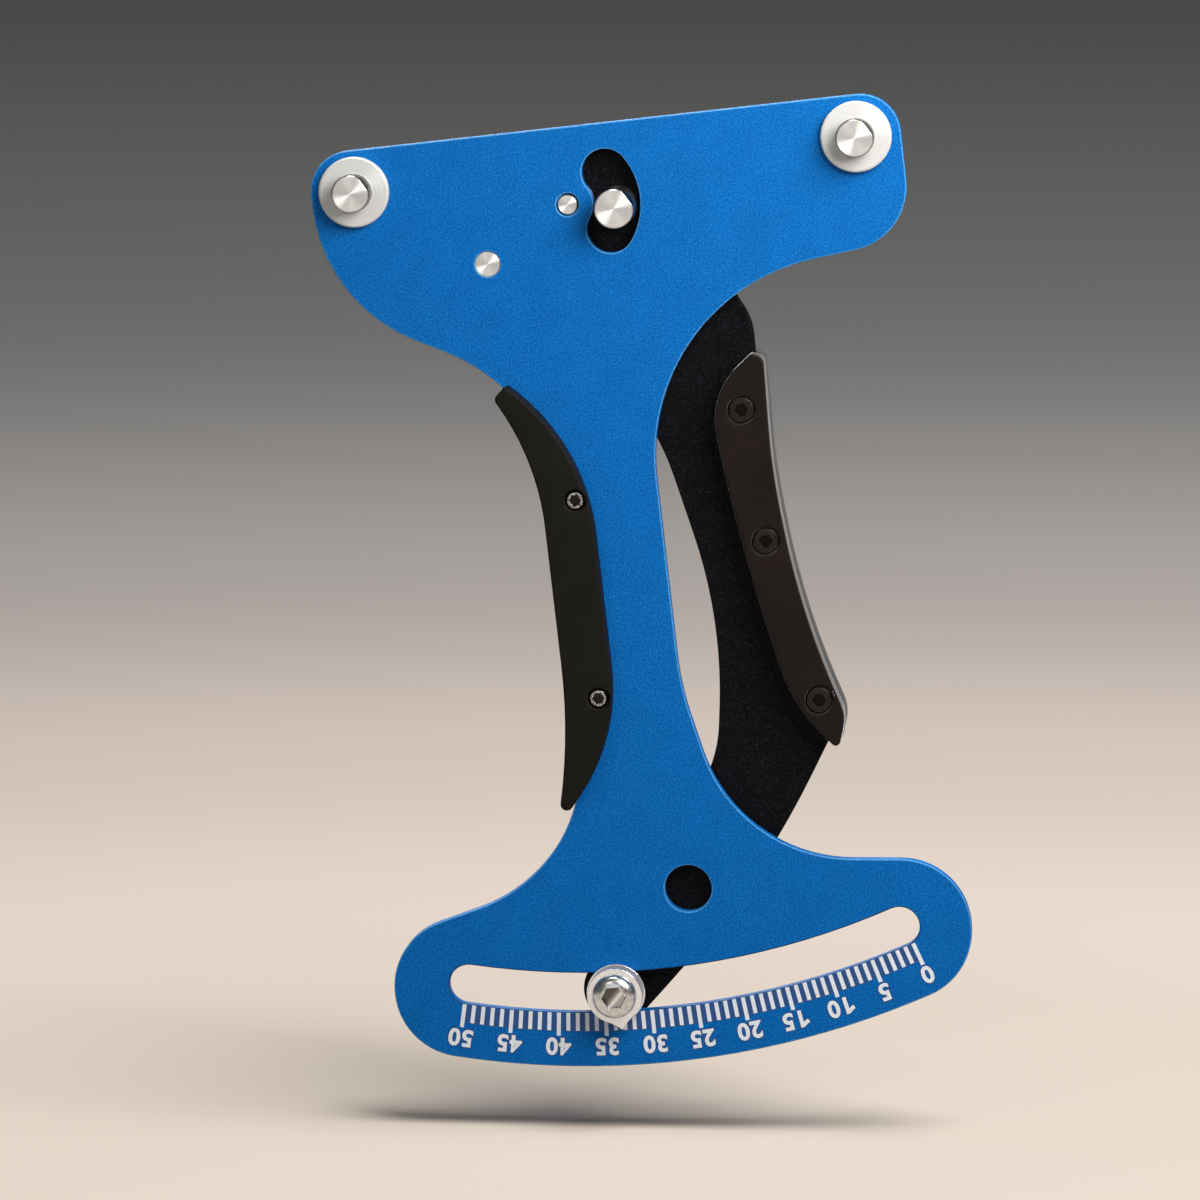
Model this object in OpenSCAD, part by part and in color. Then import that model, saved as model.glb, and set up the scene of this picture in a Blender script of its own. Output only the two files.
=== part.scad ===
// Spoke comparison gauge: a flat body plate with two fixed posts, and a sprung
// lever behind it that presses a third post against a spoke. The lever's lower
// end carries a pointer along an arc slot with a printed scale.
// X runs along the spoke, Z points up past the posts, Y points away from the user.
// The origin lies midway between the fixed posts, on the plate's front face.

/* [Body plate] */
// Thickness of the body plate
plate_t = 3; // [2:0.1:4]
// Distance between the two fixed posts
post_span = 112.4; // [104:0.2:122]
// Plate beside each fixed post, from the post's axis to the outer edge
rim_side = 9.85; // [9:0.05:12]
// Plate above the fixed posts, from their axes to the top edge
rim_top = 9.2; // [8.5:0.05:11]
// Radius of the two top corners
top_corner = 9; // [6:0.1:9]
// Height of the right arm at its outer end, below the post line
right_drop = 23.6; // [21:0.1:26]
// Rise of the right arm's lower edge towards its end, in degrees
right_slope = 6; // [3:0.5:9]
// Radius of the right arm's lower corner
right_corner = 14.3; // [10:0.1:17]
// Height of the left arm at its outer end, below the post line
left_drop = 24.3; // [20:0.1:26]
// Fall of the left arm's lower edge towards the neck, in degrees
left_slope = 27.5; // [25:0.5:32]
// Radius of the left arm's lower corner
left_corner = 36; // [24:0.5:38]
// Position of the neck's right edge
neck_right = 3.55; // [1:0.05:5]
// Width of the neck
neck_w = 21.7; // [19:0.1:23]
// Fillet between the neck and the left arm
left_fillet = 41; // [30:0.5:44]
// Fillet between the neck and the right arm
right_fillet = 45; // [35:0.5:48]
// Rise of the fan's upper edges above the arc slot, where they would meet the neck's foot
fan_top = 27.9; // [25:0.1:31]
// Height above the fan's upper edges at which the neck starts to widen
foot_rise = 40; // [34:0.5:44]
// Radius of the bend where the neck starts to widen
foot_fillet = 65; // [40:1:80]
// Widening of the neck's left side at the fan
foot_left_out = 7.1; // [5:0.1:9]
// Widening of the neck's right side at the fan
foot_right_out = 8.7; // [6:0.1:10]
// Fall of the fan's left upper edge, in degrees
fan_slope_left = 14; // [11:0.5:17]
// Fall of the fan's right upper edge, in degrees
fan_slope_right = 6; // [3:0.5:9]
// Fillet between the neck and the fan's left side
fan_fillet_left = 35.5; // [25:0.5:40]
// Fillet between the neck and the fan's right side
fan_fillet_right = 35; // [25:0.5:40]
// Reach of the fan to the left
fan_left = 69; // [66:0.1:74]
// Reach of the fan to the right
fan_right = 62.4; // [60:0.1:68]
// Radius of the fan's corners
fan_corner = 15.8; // [9:0.1:16]
// Diameter of the hanging hole
hang_d = 10.6; // [8:0.1:12]
// Depth of the hanging hole below the fan's upper edges
hang_depth = 5.7; // [4:0.1:8]

/* [Scale] */
// Radius of the arc slot about the lever's pivot
slot_r = 177.8; // [175:0.1:181]
// Width of the arc slot
slot_w = 9; // [8.8:0.1:10]
// Swing of the slot's left end from straight down, in degrees
slot_left = 13.9; // [13.8:0.1:15]
// Swing of the slot's right end from straight down, in degrees
slot_right = 18.2; // [18:0.1:19]
// Width of the plate below the slot, which carries the scale
scale_band = 12.4; // [10:0.1:14]

/* [Posts] */
// Diameter of a fixed post
post_d = 8.4; // [6:0.1:10]
// Length of a fixed post in front of its flange
post_l = 5.5; // [4:0.1:8]
// Diameter of a fixed post's flange
flange_d = 15.7; // [13:0.1:17]
// Thickness of a fixed post's flange
flange_t = 2; // [1:0.1:3]
// Diameter of a post's rivet shank
shank_d = 5.8; // [4:0.1:7]
// Diameter of a post's rivet head at the back
rivet_d = 9.4; // [8:0.1:11]
// Height of a post's rivet head
rivet_h = 1.4; // [0.8:0.1:2]
// Chamfer on a post's front edge
post_chamfer = 0.35; // [0.1:0.05:0.8]
// Depth of the slanted cut in the side of a post's front end
cut_depth = 0.6; // [0.2:0.05:0.7]
// Slant of that cut to the post's axis, in degrees
cut_slant = 15; // [13:1:30]
// Swing of that cut up from the right, in degrees
cut_swing = 30; // [0:1:60]
// Diameter of the moving post
moving_d = 8.8; // [7:0.1:9.2]
// Clearance between the moving post and the sides of its slot
moving_gap = 0.8; // [0.4:0.1:1.2]
// Swing of the moving post's slot above the pivot, in degrees
kidney_up = 34.5; // [28:0.5:40]
// Swing of the moving post's slot below the pivot, in degrees
kidney_down = 36.5; // [30:0.5:42]

/* [Pivot] */
// Position of the lever's pivot along the post line
pivot_x = -9.2; // [-12:0.1:-7]
// Depth of the lever's pivot below the post line
pivot_depth = 8; // [7:0.1:9]
// Diameter of the pivot pin in the body plate
pivot_d = 4.25; // [3:0.05:5]
// Diameter of the pivot pin's journal in the lever
journal_d = 6; // [5.2:0.1:7]
// Diameter of the recess round the pivot pin's front end
pivot_recess_d = 5.1; // [5.05:0.05:6]
// Depth of that recess
pivot_recess = 0.9; // [0.4:0.1:1.5]
// Wall of the bush in the lever
bush_wall = 1.2; // [0.8:0.1:1.6]
// Outer diameter of the two pivot washers
pivot_washer_d = 11.4; // [10:0.1:12]
// Thickness of the washer behind the lever
back_washer_t = 0.8; // [0.5:0.1:1.2]
// Thickness of the retaining clip
clip_t = 0.6; // [0.4:0.1:1]
// Outer diameter of the retaining clip
clip_d = 10; // [9:0.1:11]

/* [Lever] */
// Thickness of the lever plate
lever_t = 3; // [2:0.1:4]
// Gap between the body plate and the lever
lever_gap = 1; // [0.6:0.1:1.4]
// Radius of the lever's head about the pivot
head_r = 16.9; // [16.4:0.1:17]
// Distance of the lever's shoulder to the right of the pivot
shoulder_out = 28.4; // [27:0.1:30]
// Depth of the lever's shoulder below the pivot
shoulder_depth = 12; // [11:0.1:13]
// Depth of the lever's armpit below its head
armpit_depth = 9.1; // [8:0.1:10]
// Distance of the moving post from the pivot
moving_r = 11; // [10.6:0.1:11.4]
// Swing of the moving post below the pivot at rest, in degrees
moving_dip = 8.5; // [7:0.5:10]
// Radius of the lever's lower end about the pointer
lever_end_r = 7.8; // [7:0.1:9]
// Swing of the pointer to the left of straight down at rest, in degrees
pointer_swing = 3.1; // [2:0.1:4]

/* [Spring] */
// Position of the spring's fixed pin, from the pivot along the post line
anchor_dx = -19.3; // [-21:0.1:-19]
// Depth of the spring's fixed pin below the pivot
anchor_depth = 11.2; // [10:0.1:12]
// Diameter of the spring's fixed pin in the body plate
anchor_d = 5.6; // [5:0.1:6.4]
// Distance of the lever's spring pin from the pivot
spring_pin_r = 12; // [11.4:0.1:12.6]
// Swing of the lever's spring pin from straight up, to the left, in degrees
spring_pin_swing = 22; // [18:0.5:26]
// Diameter of both spring pins behind the plates
spring_pin_d = 5.6; // [5:0.1:6.4]
// Diameter of the groove that holds a spring hook
groove_d = 3.4; // [2.8:0.1:4]
// Diameter of the spring wire
wire_d = 1.3; // [1:0.05:1.4]
// Outer diameter of the spring's coils
coil_d = 8; // [7.4:0.1:8.4]
// Number of coils
coils = 9; // [6:1:9]

/* [Body grip] */
// Thickness of the grip's front half
body_grip_front_t = 6; // [4.5:0.1:7]
// Thickness of the grip's rear half
body_grip_back_t = 6; // [5:0.1:8]
// How far the grip laps over the neck at mid length
body_grip_lap = 7; // [6.8:0.1:8.5]
// How far the grip stands out past the neck at mid length
body_grip_lip = 3.8; // [2:0.1:5]
// Depth of the grip's upper tip below the post line
body_grip_top = 46.8; // [44:0.1:49]
// Depth of the grip's lower tip below the post line
body_grip_bottom = 142.6; // [140:0.1:146]
// How far the upper tip stands out past the neck's left edge
body_grip_flare_top = 12; // [11.5:0.1:13]
// How far the lower tip stands out past the neck's left edge
body_grip_flare_bottom = 7.9; // [7:0.1:8.5]
// Width of the upper tip
body_grip_tip_w = 3; // [2.6:0.1:3.5]
// Width of the lower tip
body_grip_foot_w = 2.2; // [2:0.1:2.6]
// Distance from the upper tip to the corner of the inner edge
body_grip_bend_top = 14; // [13:0.1:16]
// Distance from the lower tip to the corner of the inner edge
body_grip_bend_bottom = 14.8; // [14:0.1:16]
// Distance from the upper tip to the corner of the outer edge
body_grip_curve_top = 16.8; // [16:0.1:19]
// Distance from the lower tip to the corner of the outer edge
body_grip_curve_bottom = 17.2; // [16:0.1:20]
// Distance of the grip's screws from the neck's left edge
body_screw_inset = 3.6; // [2.6:0.1:3.9]
// Depth of the upper screw below the post line
body_screw_top = 73.2; // [71:0.1:80]
// Distance between the two screws
body_screw_pitch = 44.7; // [36:0.1:46]

/* [Lever grip] */
// Depth of the grip's upper tip below the pivot
lever_grip_top = 37.1; // [36:0.1:39]
// Depth of the grip's lower tip below the pivot
lever_grip_bottom = 127.6; // [126:0.1:130]
// Distance of the grip's outer edge from the pivot, near its upper tip
lever_grip_out = 38.7; // [38:0.1:40]
// How far the outer edge leans out along the grip
lever_grip_lean = 3; // [2:0.1:4]
// How far the grip's lower end hooks outwards
lever_grip_hook = 7.3; // [6.5:0.1:8]
// Width of the grip across its middle
lever_grip_w = 10.5; // [10:0.1:11.5]
// Distance of the upper screw below the grip's upper tip
lever_screw_top = 12.3; // [11:0.1:14]
// Distance from the upper screw down to the middle one
lever_screw_mid = 29.7; // [27:0.1:33]
// Distance from the middle screw down to the lower one
lever_screw_low = 36.7; // [34:0.1:38]
// Distance of the screws from the grip's outer edge
lever_screw_inset = 5.3; // [4.6:0.1:5.6]
// Thickness of the grip's front half
lever_grip_front_t = 6; // [4.5:0.1:7]
// Thickness of the grip's rear half
lever_grip_back_t = 5.5; // [4.5:0.1:8]
// How far the grip stands out past the lever's outer edge
lever_grip_lip = 1.4; // [0.8:0.1:2]

/* [Fasteners] */
// Diameter of a body grip screw
body_screw_d = 2; // [1.6:0.1:2.2]
// Head diameter of a body grip screw
body_head_d = 3.8; // [3.2:0.1:4]
// Width of the hexagon socket in a body grip screw
body_hex = 2.3; // [1.6:0.1:2.6]
// Clearance round a body grip screw's head
body_head_gap = 0.4; // [0.1:0.05:0.5]
// Head height of a body grip screw
body_head_h = 1.4; // [0.8:0.1:1.6]
// Diameter of a lever grip screw
lever_screw_d = 2.5; // [2:0.1:3]
// Head diameter of a lever grip screw
lever_head_d = 5.9; // [4.4:0.1:6.2]
// Head height of a lever grip screw
lever_head_h = 1.3; // [0.8:0.1:1.6]
// Width of the hexagon socket in a lever grip screw
lever_hex = 2.6; // [2:0.1:3.4]
// Clearance round a lever grip screw's head
lever_head_gap = 0.2; // [0.1:0.05:0.3]
// Depth of a screw head below the grip's face
head_sink = 0.5; // [0.1:0.1:1]
// Thickness of a grip nut
nut_t = 1.8; // [1.2:0.1:2.2]
// Diameter of the pointer's screw
pointer_screw_d = 5; // [4:0.1:6]
// Head diameter of the pointer's screw
pointer_head_d = 10; // [8:0.1:10.4]
// Head height of the pointer's screw
pointer_head_h = 2.6; // [2:0.1:3.2]
// Width of the hexagon socket in the pointer's screw
pointer_hex = 4.6; // [3:0.1:5]

/* [Pointer] */
// Diameter of the pointer's disc
pointer_d = 12.4; // [11:0.1:13]
// Distance of the pointer's tip from the screw's axis
pointer_tip = 7.9; // [7.4:0.1:9]
// Radius of the hollow flanks of the tip
pointer_flank = 12; // [6:0.5:20]
// Turn of the tip from the lever's radius, in degrees
pointer_turn = 10; // [0:1:15]
// Thickness of the pointer
pointer_t = 1.2; // [0.8:0.1:2]
// Diameter of the washer that slides on the plate
pointer_washer_d = 13.2; // [12:0.1:14]
// Thickness of that washer
pointer_washer_t = 1; // [0.6:0.1:1.4]
// Gap between that washer and the plate
pointer_gap = 0.3; // [0.2:0.05:0.5]
// Distance between the washer and the pointer
pointer_lift = 2.2; // [1:0.1:3]
// Clearance between the pointer's spacer and the sides of the slot
spacer_gap = 0.5; // [0.3:0.1:0.8]
// Width of the pointer's nut across its flats
pointer_nut_w = 8; // [7:0.1:9]
// Thickness of the pointer's nut
pointer_nut_t = 3.5; // [2.5:0.1:4.5]

/* [Clearances] */
// Radial running clearance of the lever on its pivot
run_gap = 0.05; // [0.02:0.01:0.09]
// Radial gap of a pressed or riveted fit
press_gap = 0.02; // [0.01:0.01:0.04]
// Radial clearance of a screw in its hole
screw_gap = 0.15; // [0.05:0.05:0.25]
// Side play between flat faces that slide
side_gap = 0.05; // [0.03:0.01:0.1]

/* [Hidden] */
$fn = 64;
eps = 0.01;
// Largest distance between a drawn arc and its true circle
arc_tol = 0.02;

// Places in the plate's plane, as [x, z]
post_x = post_span / 2;
pivot = [pivot_x, -pivot_depth];
anchor = pivot + [anchor_dx, -anchor_depth];
moving = pivot + moving_r * [cos(moving_dip), -sin(moving_dip)];
spring_pin = pivot + spring_pin_r * [-sin(spring_pin_swing), cos(spring_pin_swing)];
hub = pivot + slot_r * [-sin(pointer_swing), -cos(pointer_swing)];
neck_left = neck_right - neck_w;
body_screws = [for (i = [0, 1]) [neck_left + body_screw_inset, -body_screw_top - i * body_screw_pitch]];
outer_x = post_x + rim_side;
bottom_r = slot_r + slot_w / 2 + scale_band;
fan_z = pivot[1] - slot_r + fan_top;
hang = [0, fan_z - hang_depth];

// Depths from front to back
post_tip = -flange_t - post_l;
lever_front = plate_t + lever_gap;
lever_back = lever_front + lever_t;
washer_back = lever_back + side_gap + back_washer_t;
clip_back = washer_back + side_gap + clip_t;
pin_tail = 1;
coil_gap = 0.7;
spring_y = lever_back + coil_d / 2 + coil_gap;
groove_play = 0.4;
groove_w = wire_d + 2 * groove_play;
pin_cap = 1.2;
washer_front = -pointer_gap - pointer_washer_t;
pointer_back = washer_front - pointer_lift;
pointer_front = pointer_back - pointer_t;

// Corners of the body plate, clockwise from the top left, as [x, z, radius]
function fall(from, slope, run) = from - run * tan(slope);
left_edge_z = fall(-left_drop, left_slope, outer_x + neck_left);
right_edge_z = fall(-right_drop, right_slope, outer_x - neck_right);
foot_left = neck_left - foot_left_out;
foot_right = neck_right + foot_right_out;
foot_z = fan_z + foot_rise;
fan_left_z = fall(fan_z, fan_slope_left, fan_left + foot_left);
fan_right_z = fall(fan_z, fan_slope_right, fan_right - foot_right);
// The bottom edge is an arc about the pivot between two tangents, which start near the slot's ends
rim_past_left = 0.5;
rim_short_right = 1;
rim_left = slot_left + rim_past_left;
rim_right = slot_right - rim_short_right;
function rim_z(x, swing) = pivot[1] - (bottom_r - abs(x - pivot[0]) * sin(swing)) / cos(swing);
rim_mid = (rim_right - rim_left) / 2;
rim_far = bottom_r / cos((rim_right + rim_left) / 2);
rim_tip = pivot + rim_far * [sin(rim_mid), -cos(rim_mid)];
plate_corners = [
  [-outer_x, rim_top, top_corner],
  [outer_x, rim_top, top_corner],
  [outer_x, -right_drop, right_corner],
  [neck_right, right_edge_z, right_fillet],
  [neck_right, foot_z, foot_fillet],
  [foot_right, fan_z, fan_fillet_right],
  [fan_right, fan_right_z, fan_corner],
  [fan_right, rim_z(fan_right, rim_right), fan_corner],
  [rim_tip[0], rim_tip[1], bottom_r],
  [-fan_left, rim_z(-fan_left, rim_left), fan_corner],
  [-fan_left, fan_left_z, fan_corner],
  [foot_left, fan_z, fan_fillet_left],
  [neck_left, foot_z, foot_fillet],
  [neck_left, left_edge_z, left_fillet],
  [-outer_x, -left_drop, left_corner]
];

// Corners of the body grip, clockwise from its upper tip
body_grip_inner = neck_left + body_grip_lap;
body_grip_outer = neck_left - body_grip_lip;
body_grip_tip = neck_left - body_grip_flare_top;
body_grip_foot = neck_left - body_grip_flare_bottom;
body_grip_corners = [
  [body_grip_tip, -body_grip_top - 2, 1.5],
  [body_grip_tip + body_grip_tip_w, -body_grip_top + 0.6, 1],
  [body_grip_inner, -body_grip_top - body_grip_bend_top, 64],
  [body_grip_inner, -body_grip_bottom + body_grip_bend_bottom, 43.5],
  [body_grip_foot + body_grip_foot_w, -body_grip_bottom, 1.5],
  [body_grip_foot, -body_grip_bottom + 0.6, 1.5],
  [body_grip_outer, -body_grip_bottom + body_grip_curve_bottom, 143],
  [body_grip_outer, -body_grip_top - body_grip_curve_top, 58]
];

// Corners of the lever's grip from the pivot, clockwise from its upper tip
grip_top = -lever_grip_top;
grip_foot = -lever_grip_bottom;
grip_far = lever_grip_out + lever_grip_lean;
grip_mid = lever_grip_out + lever_grip_lean / 2;
grip_hook = grip_far + lever_grip_hook;
lever_grip_outer = [[lever_grip_out, grip_top - 25.8, 150], [grip_far, grip_foot + 30.2, 194]];
lever_grip_corners = concat(
  [
    [lever_grip_out - 1.8, grip_top, 1],
    [lever_grip_out + 0.9, grip_top - 1.2, 2]
  ],
  lever_grip_outer,
  [
    [grip_hook, grip_foot + 7.8, 9.8],
    [grip_hook - 2.5, grip_foot, 1.1],
    [grip_far - 4.2, grip_foot + 10.9, 43],
    [grip_mid - lever_grip_w, grip_foot + 47.6, 580],
    [lever_grip_out - 12.3, grip_top - 8.2, 21.7]
  ]);
screw_z = grip_top - lever_screw_top;
lever_screws = [for (p = [
  [lever_grip_out, screw_z],
  [grip_mid + 0.6, screw_z - lever_screw_mid],
  [grip_hook - 0.3, screw_z - lever_screw_mid - lever_screw_low]]) pivot + p - [lever_screw_inset, 0]];

// Corners of the lever plate from the pivot, clockwise from its head, where two lie inside the head's disc
lever_hub = hub - pivot;
lever_corners = concat(
  [
    concat(head_r * [0.24, 0.89], 0),
    [shoulder_out, -shoulder_depth, 26],
    [lever_grip_out - 1.1, grip_top + 7.1, 14]
  ],
  [for (p = lever_grip_outer) p - [lever_grip_lip, 0, 0]],
  [
    [grip_hook - 2.8, grip_foot + 5, 3],
    concat(lever_hub + [34.1, 20.5], 210),
    concat(lever_hub + lever_end_r * [cos(45), -sin(45)], 0),
    concat(lever_hub + lever_end_r * [-cos(38), sin(38)], 0),
    [grip_far - 22.9, grip_foot, 30],
    [grip_far - 18.3, grip_foot + 31.6, 110],
    [lever_grip_out - 24.9, grip_top - 14.9, 60],
    [-3.8, -head_r - armpit_depth, 20],
    concat(head_r * [-0.83, -0.47], 0)
  ]);

// Points of an outline whose corners are rounded by tangent arcs
function unit(v) = v / norm(v);
function xz(p) = [p[0], p[1]];
function arc_steps(r, turn) = max(1, ceil(abs(turn) / (2 * acos(1 - arc_tol / r))));
function wrap(a) = (a + 540) % 360 - 180;
function around(pts, i) = xz(pts[(i + len(pts)) % len(pts)]);
// Length of edge that a corner's arc takes up, and the share of it that two neighbours leave room for
function half_angle(pts, i) =
  let (p = around(pts, i))
  acos(unit(around(pts, i - 1) - p) * unit(around(pts, i + 1) - p)) / 2;
function reach(pts, i) = let (k = (i + len(pts)) % len(pts)) pts[k][2] / tan(half_angle(pts, k));
function room(pts, i) =
  let (used = reach(pts, i) + reach(pts, i + 1), edge = norm(around(pts, i + 1) - around(pts, i)))
  used > edge ? edge / used : 1;
function corner(pts, i) =
  let (p = around(pts, i), u = unit(around(pts, i - 1) - p), v = unit(around(pts, i + 1) - p))
  let (half = half_angle(pts, i), r = pts[i][2] * min(room(pts, i - 1), room(pts, i)))
  let (c = p + unit(u + v) * (r / sin(half)), run = r / tan(half), s = p + u * run - c, e = p + v * run - c)
  let (from = atan2(s[1], s[0]), turn = wrap(atan2(e[1], e[0]) - from), n = arc_steps(r, turn))
  [for (k = [0:n]) c + r * [cos(from + turn * k / n), sin(from + turn * k / n)]];
function rounded(pts) = [for (i = [0:len(pts) - 1]) each pts[i][2] > 0 ? corner(pts, i) : [xz(pts[i])]];
// Points of an arc about c from one swing to another, both from straight down
function arc(c, r, from, to) =
  let (n = arc_steps(r, to - from))
  [for (i = [0:n]) let (a = from + (to - from) * i / n) c + r * [sin(a), -cos(a)]];

// A flat piece from depth y0 to y1, drawn in the plate's plane
module slab(y0, y1) {
  translate([0, y1, 0]) rotate([90, 0, 0]) linear_extrude(height = y1 - y0) children();
}

// A round piece along Y at place p, from depth y0 to y1
module rod(p, y0, y1, d) {
  translate([p[0], y1, p[1]]) rotate([90, 0, 0]) cylinder(h = y1 - y0, d = d);
}

// A turned piece along Y at place p, from its profile of [radius, depth] points
module turned(p, profile) {
  translate([p[0], 0, p[1]]) rotate([-90, 0, 0]) rotate_extrude() polygon(profile);
}

// A ring along Y at place p
module ring(p, y0, y1, d, hole) {
  difference() {
    rod(p, y0, y1, d);
    rod(p, y0 - eps, y1 + eps, hole);
  }
}

// A hexagonal prism along Y at place p, w across its flats
module hex_rod(p, y0, y1, w) {
  translate([p[0], y1, p[1]]) rotate([90, 0, 0]) cylinder(h = y1 - y0, d = w / cos(30), $fn = 6);
}

// An arc slot about the pivot with round ends, between two swings from straight down
module arc_slot(y0, y1, r, w, from, to) {
  left_end = pivot + r * [sin(from), -cos(from)];
  right_end = pivot + r * [sin(to), -cos(to)];
  slab(y0, y1) polygon(concat(
    arc(pivot, r + w / 2, from, to),
    arc(right_end, w / 2, to, to + 180),
    arc(pivot, r - w / 2, to, from),
    arc(left_end, w / 2, from + 180, from + 360)));
}

module plate_outline() {
  polygon(rounded(plate_corners));
}

module body_grip_outline() {
  polygon(rounded(body_grip_corners));
}

module lever_outline() {
  translate(pivot) polygon(rounded(lever_corners));
}

module lever_grip_outline() {
  translate(pivot) polygon(rounded(lever_grip_corners));
}

module body_plate() {
  color("royalblue") difference() {
    slab(0, plate_t) plate_outline();
    arc_slot(-eps, plate_t + eps, slot_r, slot_w, -slot_left, slot_right);
    arc_slot(-eps, plate_t + eps, moving_r, moving_d + 2 * moving_gap, 90 - kidney_down, 90 + kidney_up);
    rod(hang, -eps, plate_t + eps, hang_d);
    rod(anchor, -eps, plate_t + eps, anchor_d + 2 * press_gap);
    rod(pivot, -eps, plate_t + eps, pivot_d + 2 * press_gap);
    rod(pivot, -eps, pivot_recess, pivot_recess_d);
    for (side = [-1, 1]) {
      rod([side * post_x, 0], -eps, plate_t + eps, shank_d + 2 * press_gap);
    }
    for (p = body_screws) {
      rod(p, -eps, plate_t + eps, body_screw_d + 2 * screw_gap);
    }
  }
}

// The slanted cut in the front end of a post of radius r at place p, which runs out at the post's side
module post_cut(p, r) {
  run = cut_depth / sin(cut_slant);
  translate([p[0], post_tip, p[1]])
    rotate([0, -cut_swing, 0])
      translate([r - cut_depth, 0, 0])
        rotate([0, 0, -cut_slant])
          translate([0, -run, -r])
            cube([r, 2 * run + eps, 2 * r]);
}

// A fixed post: chamfered pin with a cut, flange, shank through the plate and rivet head
module fixed_post(side) {
  p = [side * post_x, 0];
  r = post_d / 2;
  color("silver") difference() {
    turned(p, [
      [0, post_tip],
      [r - post_chamfer, post_tip],
      [r, post_tip + post_chamfer],
      [r, -flange_t],
      [flange_d / 2 - post_chamfer, -flange_t],
      [flange_d / 2, -flange_t + post_chamfer],
      [flange_d / 2, 0],
      [shank_d / 2, 0],
      [shank_d / 2, plate_t],
      [rivet_d / 2, plate_t],
      [rivet_d / 2, plate_t + rivet_h / 2],
      [rivet_d / 3, plate_t + rivet_h],
      [0, plate_t + rivet_h]
    ]);
    post_cut(p, r);
  }
}

module left_post() {
  fixed_post(-1);
}

module right_post() {
  fixed_post(1);
}

// Depth of the clip's groove in the pin, room round the pin, and a prong's width and its lap on the ring
clip_bite = 0.9;
clip_clear = 0.5;
prong_w = 1.9;
prong_lap = 0.5;
// The pin is pressed into the plate and its journal carries the lever
module pivot_pin() {
  r = journal_d / 2;
  tail = clip_back + side_gap + pin_tail;
  color("silver") turned(pivot, [
    [0, 0],
    [pivot_d / 2, 0],
    [pivot_d / 2, plate_t],
    [r, plate_t],
    [r, washer_back],
    [r - clip_bite, washer_back],
    [r - clip_bite, clip_back + side_gap],
    [r, clip_back + side_gap],
    [r, tail - post_chamfer],
    [r - post_chamfer, tail],
    [0, tail]
  ]);
}

module pivot_spacer() {
  color("ivory") ring(pivot, plate_t, lever_front - side_gap, pivot_washer_d, journal_d + 2 * run_gap);
}

module pivot_washer() {
  color("lightgray") ring(pivot, lever_back + side_gap, washer_back, pivot_washer_d, journal_d + 2 * run_gap);
}

// An E-shaped clip: an open ring with three prongs in the pin's groove
module pivot_clip() {
  y0 = washer_back + side_gap;
  groove = journal_d - 2 * clip_bite;
  hole = journal_d + 2 * clip_clear;
  color("dimgray") difference() {
    union() {
      ring(pivot, y0, clip_back, clip_d, hole);
      for (a = [0, 90, 180]) {
        translate([pivot[0], y0, pivot[1]])
          rotate([0, a, 0])
            translate([groove / 2 - prong_lap, 0, -prong_w / 2])
              cube([(hole - groove) / 2 + 2 * prong_lap, clip_t, prong_w]);
      }
    }
    rod(pivot, y0 - eps, clip_back + eps, groove + 2 * press_gap);
    translate([pivot[0] - groove / 2, y0 - eps, pivot[1]])
      cube([groove, clip_t + 2 * eps, clip_d]);
  }
}

// A pin with a plain stem in its plate and a groove for a spring hook behind it
module hook_pin(p, y0, seat, d) {
  r = spring_pin_d / 2;
  color("silver") turned(p, [
    [0, y0],
    [d / 2, y0],
    [d / 2, seat],
    [r, seat],
    [r, spring_y - groove_w / 2],
    [groove_d / 2, spring_y - groove_w / 2],
    [groove_d / 2, spring_y + groove_w / 2],
    [r, spring_y + groove_w / 2],
    [r, spring_y + groove_w / 2 + pin_cap - post_chamfer],
    [r - post_chamfer, spring_y + groove_w / 2 + pin_cap],
    [0, spring_y + groove_w / 2 + pin_cap]
  ]);
}

module spring_anchor_pin() {
  hook_pin(anchor, 0, plate_t, anchor_d);
}

stem_step = 0.5;
lever_pin_d = spring_pin_d - 2 * stem_step;
module lever_spring_pin() {
  hook_pin(spring_pin, lever_front, lever_back, lever_pin_d);
}

// The spring's path: a hook round each pin's groove and coils between them
spring_dir = unit(spring_pin - anchor);
spring_across = [-spring_dir[1], spring_dir[0]];
spring_l = norm(spring_pin - anchor);
hook_gap = 0.15;
hook_neck = 2.6;
hook_r = groove_d / 2 + wire_d / 2 + hook_gap;
coil_r = (coil_d - wire_d) / 2;
hook_run = hook_r + hook_neck;
coil_l = spring_l - 2 * hook_run;
curl_rings = 8;
hook_rings = 8;
hook_wrap = 235;
// Points are [along, across, depth] from the anchor pin's axis
function hook(centre, way) = [for (i = [0:hook_rings])
  let (a = hook_wrap / 2 - hook_wrap * i / hook_rings)
  [centre - way * hook_r * cos(a), hook_r * sin(a) * way, 0]];
function coil(i) =
  let (a = 360 * i / curl_rings, n = coils * curl_rings)
  [hook_run + coil_l * i / n, -coil_r * cos(a), coil_r * sin(a)];
spring_path = concat(
  hook(0, 1),
  [for (i = [0:coils * curl_rings]) coil(i)],
  hook(spring_l, -1));
function in_place(p) =
  let (q = anchor + p[0] * spring_dir + p[1] * spring_across)
  [q[0], spring_y + p[2], q[1]];
spring_points = [for (p = spring_path) in_place(p)];

// The least gap between stretches of the wire that lie apart along it
near = curl_rings / 2 + 1;
wire_gap = min([for (i = [0:len(spring_points) - 1], j = [i + near:1:len(spring_points) - 1])
  norm(spring_points[i] - spring_points[j])]) - wire_d;
echo(spring_least_gap = wire_gap);

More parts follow.
